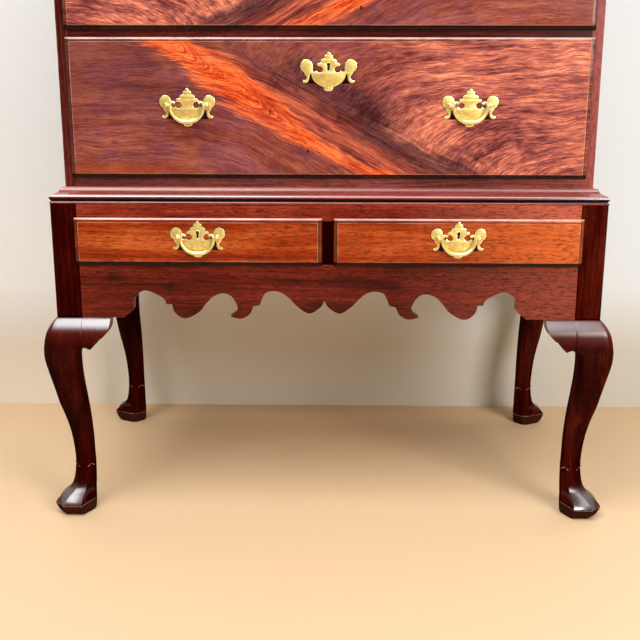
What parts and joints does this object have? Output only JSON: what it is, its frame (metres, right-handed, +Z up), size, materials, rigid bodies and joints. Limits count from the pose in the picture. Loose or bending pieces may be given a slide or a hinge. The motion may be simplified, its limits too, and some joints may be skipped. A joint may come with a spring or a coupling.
{
  "type": "highboy",
  "caption": "Two-part walnut chest of drawers on a low base with cabriole legs, a scrolled apron, lipped drawers and brass bail pulls",
  "frame": {"origin": "on the floor, under the middle of the whole piece's box", "axes": "+Z up, -Y out of the drawer fronts, +X to the right as seen from the front"},
  "size_m": [1.091, 0.6228, 1.6103],
  "materials": {
    "walnut_dark": "polished dark red-brown varnish",
    "walnut": "polished red-brown varnish",
    "walnut_figured": "polished figured veneer",
    "walnut_warm": "polished orange-brown varnish",
    "secondary_wood": "unfinished, aged",
    "brass": "polished with a light patina"
  },
  "bodies": {
    "base": {"leg_front_left": "walnut_dark", "leg_front_right": "walnut_dark", "leg_rear_left": "walnut_dark", "leg_rear_right": "walnut_dark", "front_apron": "walnut", "base_top_rail": "walnut", "base_divider": "walnut", "base_back": "secondary_wood", "base_runner": "secondary_wood", "base_side_left": "walnut_dark", "base_side_right": "walnut_dark", "waist_moulding": "walnut_dark"},
    "upper_case": {"case_side_left": "walnut_dark", "case_side_right": "walnut_dark", "cornice": "walnut_dark", "case_bottom": "walnut", "case_top": "walnut", "case_top_rail": "walnut", "top_divider": "walnut", "drawer_blade_1": "walnut", "drawer_blade_2": "walnut", "drawer_blade_3": "walnut", "case_back": "secondary_wood"},
    "bail_lower_left": {"bail_lower_left": "brass"},
    "drawer_lower_left": {"lower_left_front": "walnut_warm", "lower_left_box": "secondary_wood", "pull_plate_lower_left": "brass"},
    "bail_lower_right": {"bail_lower_right": "brass"},
    "drawer_lower_right": {"lower_right_front": "walnut_warm", "lower_right_box": "secondary_wood", "pull_plate_lower_right": "brass"},
    "bail_long_1_left": {"bail_long_1_left": "brass"},
    "bail_long_1_right": {"bail_long_1_right": "brass"},
    "drawer_long_1": {"long_1_front": "walnut_figured", "long_1_box": "secondary_wood", "pull_plate_long_1_left": "brass", "pull_plate_long_1_right": "brass", "escutcheon_long_1": "brass"},
    "bail_long_2_left": {"bail_long_2_left": "brass"},
    "bail_long_2_right": {"bail_long_2_right": "brass"},
    "drawer_long_2": {"long_2_front": "walnut_figured", "long_2_box": "secondary_wood", "pull_plate_long_2_left": "brass", "pull_plate_long_2_right": "brass", "escutcheon_long_2": "brass"},
    "bail_long_3_left": {"bail_long_3_left": "brass"},
    "bail_long_3_right": {"bail_long_3_right": "brass"},
    "drawer_long_3": {"long_3_front": "walnut_figured", "long_3_box": "secondary_wood", "pull_plate_long_3_left": "brass", "pull_plate_long_3_right": "brass", "escutcheon_long_3": "brass"},
    "bail_top_left": {"bail_top_left": "brass"},
    "drawer_top_left": {"top_left_front": "walnut_figured", "top_left_box": "secondary_wood", "pull_plate_top_left": "brass"},
    "bail_top_right": {"bail_top_right": "brass"},
    "drawer_top_right": {"top_right_front": "walnut_figured", "top_right_box": "secondary_wood", "pull_plate_top_right": "brass"}
  },
  "joints": [
    {"name": "upper_case_lift", "type": "slide", "parent": "base", "child": "upper_case", "axis": [0, 0, 1], "range_m": [0, 0.04]},
    {"name": "slide_lower_left", "type": "slide", "parent": "base", "child": "drawer_lower_left", "axis": [0, -1, 0], "range_m": [0, 0.36]},
    {"name": "swing_lower_left", "type": "hinge", "parent": "drawer_lower_left", "child": "bail_lower_left", "pos_m": [-0.23882, -0.29348, 0.55475], "axis": [-1, 0, 0], "range_deg": [0, 165]},
    {"name": "slide_lower_right", "type": "slide", "parent": "base", "child": "drawer_lower_right", "axis": [0, -1, 0], "range_m": [0, 0.36]},
    {"name": "swing_lower_right", "type": "hinge", "parent": "drawer_lower_right", "child": "bail_lower_right", "pos_m": [0.23882, -0.29348, 0.55475], "axis": [-1, 0, 0], "range_deg": [0, 165]},
    {"name": "slide_long_1", "type": "slide", "parent": "upper_case", "child": "drawer_long_1", "axis": [0, -1, 0], "range_m": [0, 0.36]},
    {"name": "swing_long_1_left", "type": "hinge", "parent": "drawer_long_1", "child": "bail_long_1_left", "pos_m": [-0.254, -0.26898, 0.7903], "axis": [-1, 0, 0], "range_deg": [0, 165]},
    {"name": "swing_long_1_right", "type": "hinge", "parent": "drawer_long_1", "child": "bail_long_1_right", "pos_m": [0.254, -0.26898, 0.7903], "axis": [-1, 0, 0], "range_deg": [0, 165]},
    {"name": "slide_long_2", "type": "slide", "parent": "upper_case", "child": "drawer_long_2", "axis": [0, -1, 0], "range_m": [0, 0.36]},
    {"name": "swing_long_2_left", "type": "hinge", "parent": "drawer_long_2", "child": "bail_long_2_left", "pos_m": [-0.254, -0.26898, 1.0393], "axis": [-1, 0, 0], "range_deg": [0, 165]},
    {"name": "swing_long_2_right", "type": "hinge", "parent": "drawer_long_2", "child": "bail_long_2_right", "pos_m": [0.254, -0.26898, 1.0393], "axis": [-1, 0, 0], "range_deg": [0, 165]},
    {"name": "slide_long_3", "type": "slide", "parent": "upper_case", "child": "drawer_long_3", "axis": [0, -1, 0], "range_m": [0, 0.36]},
    {"name": "swing_long_3_left", "type": "hinge", "parent": "drawer_long_3", "child": "bail_long_3_left", "pos_m": [-0.254, -0.26898, 1.2613], "axis": [-1, 0, 0], "range_deg": [0, 165]},
    {"name": "swing_long_3_right", "type": "hinge", "parent": "drawer_long_3", "child": "bail_long_3_right", "pos_m": [0.254, -0.26898, 1.2613], "axis": [-1, 0, 0], "range_deg": [0, 165]},
    {"name": "slide_top_left", "type": "slide", "parent": "upper_case", "child": "drawer_top_left", "axis": [0, -1, 0], "range_m": [0, 0.36]},
    {"name": "swing_top_left", "type": "hinge", "parent": "drawer_top_left", "child": "bail_top_left", "pos_m": [-0.24057, -0.26898, 1.4482], "axis": [-1, 0, 0], "range_deg": [0, 165]},
    {"name": "slide_top_right", "type": "slide", "parent": "upper_case", "child": "drawer_top_right", "axis": [0, -1, 0], "range_m": [0, 0.36]},
    {"name": "swing_top_right", "type": "hinge", "parent": "drawer_top_right", "child": "bail_top_right", "pos_m": [0.24057, -0.26898, 1.4482], "axis": [-1, 0, 0], "range_deg": [0, 165]}
  ]
}
